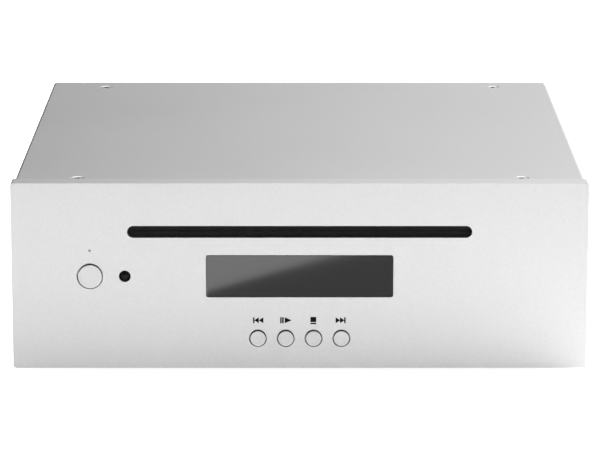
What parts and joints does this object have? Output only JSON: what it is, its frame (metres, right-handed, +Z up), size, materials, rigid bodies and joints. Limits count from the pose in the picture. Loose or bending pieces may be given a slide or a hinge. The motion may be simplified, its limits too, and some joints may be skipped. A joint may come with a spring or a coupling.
{
  "type": "cd player",
  "caption": "Compact slot-loading disc player with a thick metal front panel, folded cover, key row, display window and rear sockets.",
  "frame": {"origin": "middle of the bounding box at the bottom of the feet", "axes": "+X to the right seen from the front, +Y from the front panel to the rear sockets, +Z up"},
  "size_m": [0.206, 0.205, 0.072],
  "materials": {
    "silver_panel": "bead-blasted natural anodised aluminium",
    "silver_cover": "satin silver sheet",
    "gloss_window": "dark glossy acrylic",
    "clear_light_pipe": "clear light pipe",
    "felt": "black felt",
    "steel": "zinc-plated sheet steel",
    "black_rear": "black powder coat",
    "rubber": "black rubber",
    "gold_socket": "gold-plated brass with a plastic core",
    "black_plastic": "black moulded plastic",
    "board": "green solder mask",
    "grey_module": "dark grey module frame",
    "zinc": "die-cast zinc",
    "white_plastic": "white acetal",
    "brass_pinion": "turned brass"
  },
  "bodies": {
    "chassis": {"base_tray": "steel", "coax_out": "gold_socket", "control_board": "board", "cover_screw_front_left": "steel", "cover_screw_front_right": "steel", "cover_screw_rear_left": "steel", "cover_screw_rear_right": "steel", "damper_front_left": "rubber", "damper_front_right": "rubber", "damper_rear_left": "rubber", "damper_rear_right": "rubber", "dc_inlet": "black_plastic", "disc_guide_left": "black_plastic", "disc_guide_right": "black_plastic", "display_module": "grey_module", "display_window": "gloss_window", "foot_front_left": "rubber", "foot_front_right": "rubber", "foot_rear_left": "rubber", "foot_rear_right": "rubber", "front_panel": "silver_panel", "front_subframe": "steel", "guide_rod_left": "steel", "guide_rod_right": "steel", "infrared_window": "gloss_window", "led_light_pipe": "clear_light_pipe", "line_out_left": "gold_socket", "line_out_right": "gold_socket", "main_board": "board", "mech_frame": "steel", "mech_lid": "steel", "optical_out": "black_plastic", "power_key_board": "board", "rear_panel": "black_rear", "ribbon_cable": "white_plastic", "sled_motor": "steel", "slot_felt_lower": "felt", "slot_felt_upper": "felt", "spindle_motor": "steel", "top_cover": "silver_cover", "traverse_deck": "zinc", "trigger_jack": "black_plastic"},
    "power_key": {"power_button": "silver_panel"},
    "previous_key": {"previous_button": "silver_panel"},
    "play_key": {"play_button": "silver_panel"},
    "stop_key": {"stop_button": "silver_panel"},
    "next_key": {"next_button": "silver_panel"},
    "disc_table": {"turntable": "black_plastic"},
    "sled": {"pickup_sled": "zinc"},
    "lens": {"lens_holder": "black_plastic"},
    "sled_gear": {"feed_gear": "white_plastic"},
    "sled_drive": {"sled_pinion": "brass_pinion"},
    "feed_arm": {"roller_arm": "steel", "load_motor": "steel"},
    "roller": {"feed_roller": "rubber", "roller_gear": "white_plastic"},
    "load_drive": {"load_pinion": "brass_pinion"},
    "clamp": {"clamp_arm": "steel"},
    "disc_clamp": {"clamper": "white_plastic"},
    "slider": {"mode_slider": "black_plastic"}
  },
  "joints": [
    {"name": "power_press", "type": "slide", "parent": "chassis", "child": "power_key", "axis": [0, 1, 0], "range_m": [0, 0.0006], "stiffness_N_per_m": 600},
    {"name": "previous_press", "type": "slide", "parent": "chassis", "child": "previous_key", "axis": [0, 1, 0], "range_m": [0, 0.0006], "stiffness_N_per_m": 600},
    {"name": "play_press", "type": "slide", "parent": "chassis", "child": "play_key", "axis": [0, 1, 0], "range_m": [0, 0.0006], "stiffness_N_per_m": 600},
    {"name": "stop_press", "type": "slide", "parent": "chassis", "child": "stop_key", "axis": [0, 1, 0], "range_m": [0, 0.0006], "stiffness_N_per_m": 600},
    {"name": "next_press", "type": "slide", "parent": "chassis", "child": "next_key", "axis": [0, 1, 0], "range_m": [0, 0.0006], "stiffness_N_per_m": 600},
    {"name": "disc_spin", "type": "hinge", "parent": "chassis", "child": "disc_table", "pos_m": [0, -0.024, 0.0496], "axis": [0, 0, 1], "continuous": true},
    {"name": "sled_slide", "type": "slide", "parent": "chassis", "child": "sled", "axis": [0, 1, 0], "range_m": [0, 0.035]},
    {"name": "focus_slide", "type": "slide", "parent": "sled", "child": "lens", "axis": [0, 0, 1], "range_m": [-0.0005, 0.0005], "stiffness_N_per_m": 40},
    {"name": "feed_gear_spin", "type": "hinge", "parent": "chassis", "child": "sled_gear", "pos_m": [0.0365, 0.028, 0.043], "axis": [0, 0, 1], "range_deg": [-345, 10]},
    {"name": "sled_pinion_spin", "type": "hinge", "parent": "chassis", "child": "sled_drive", "pos_m": [0.0475, 0.028, 0.043], "axis": [0, 0, 1], "range_deg": [-10, 412]},
    {"name": "mode_slide", "type": "slide", "parent": "chassis", "child": "slider", "axis": [0, 1, 0], "range_m": [-0.008, 0.004]},
    {"name": "roller_arm_swing", "type": "hinge", "parent": "chassis", "child": "feed_arm", "pos_m": [0, -0.06, 0.0443], "axis": [-1, 0, 0], "range_deg": [-11, 5.6]},
    {"name": "clamp_arm_swing", "type": "hinge", "parent": "chassis", "child": "clamp", "pos_m": [0, 0.05, 0.064], "axis": [-1, 0, 0], "range_deg": [-4.8, 2.5]},
    {"name": "clamper_spin", "type": "hinge", "parent": "clamp", "child": "disc_clamp", "pos_m": [0, -0.024, 0.0593], "axis": [0, 0, 1], "continuous": true},
    {"name": "roller_spin", "type": "hinge", "parent": "feed_arm", "child": "roller", "pos_m": [0, -0.078, 0.0479], "axis": [1, 0, 0], "continuous": true},
    {"name": "load_pinion_spin", "type": "hinge", "parent": "feed_arm", "child": "load_drive", "pos_m": [0.0685, -0.0686, 0.04448], "axis": [1, 0, 0], "continuous": true}
  ],
  "couplings": [
    {"joint": "feed_gear_spin", "follows": "sled_slide", "rad_per_m": -166.67},
    {"joint": "sled_pinion_spin", "follows": "sled_slide", "rad_per_m": 200},
    {"joint": "roller_arm_swing", "follows": "mode_slide", "rad_per_m": 23.562},
    {"joint": "clamp_arm_swing", "follows": "mode_slide", "rad_per_m": 10.036},
    {"joint": "load_pinion_spin", "follows": "roller_spin", "ratio": -1.5}
  ]
}
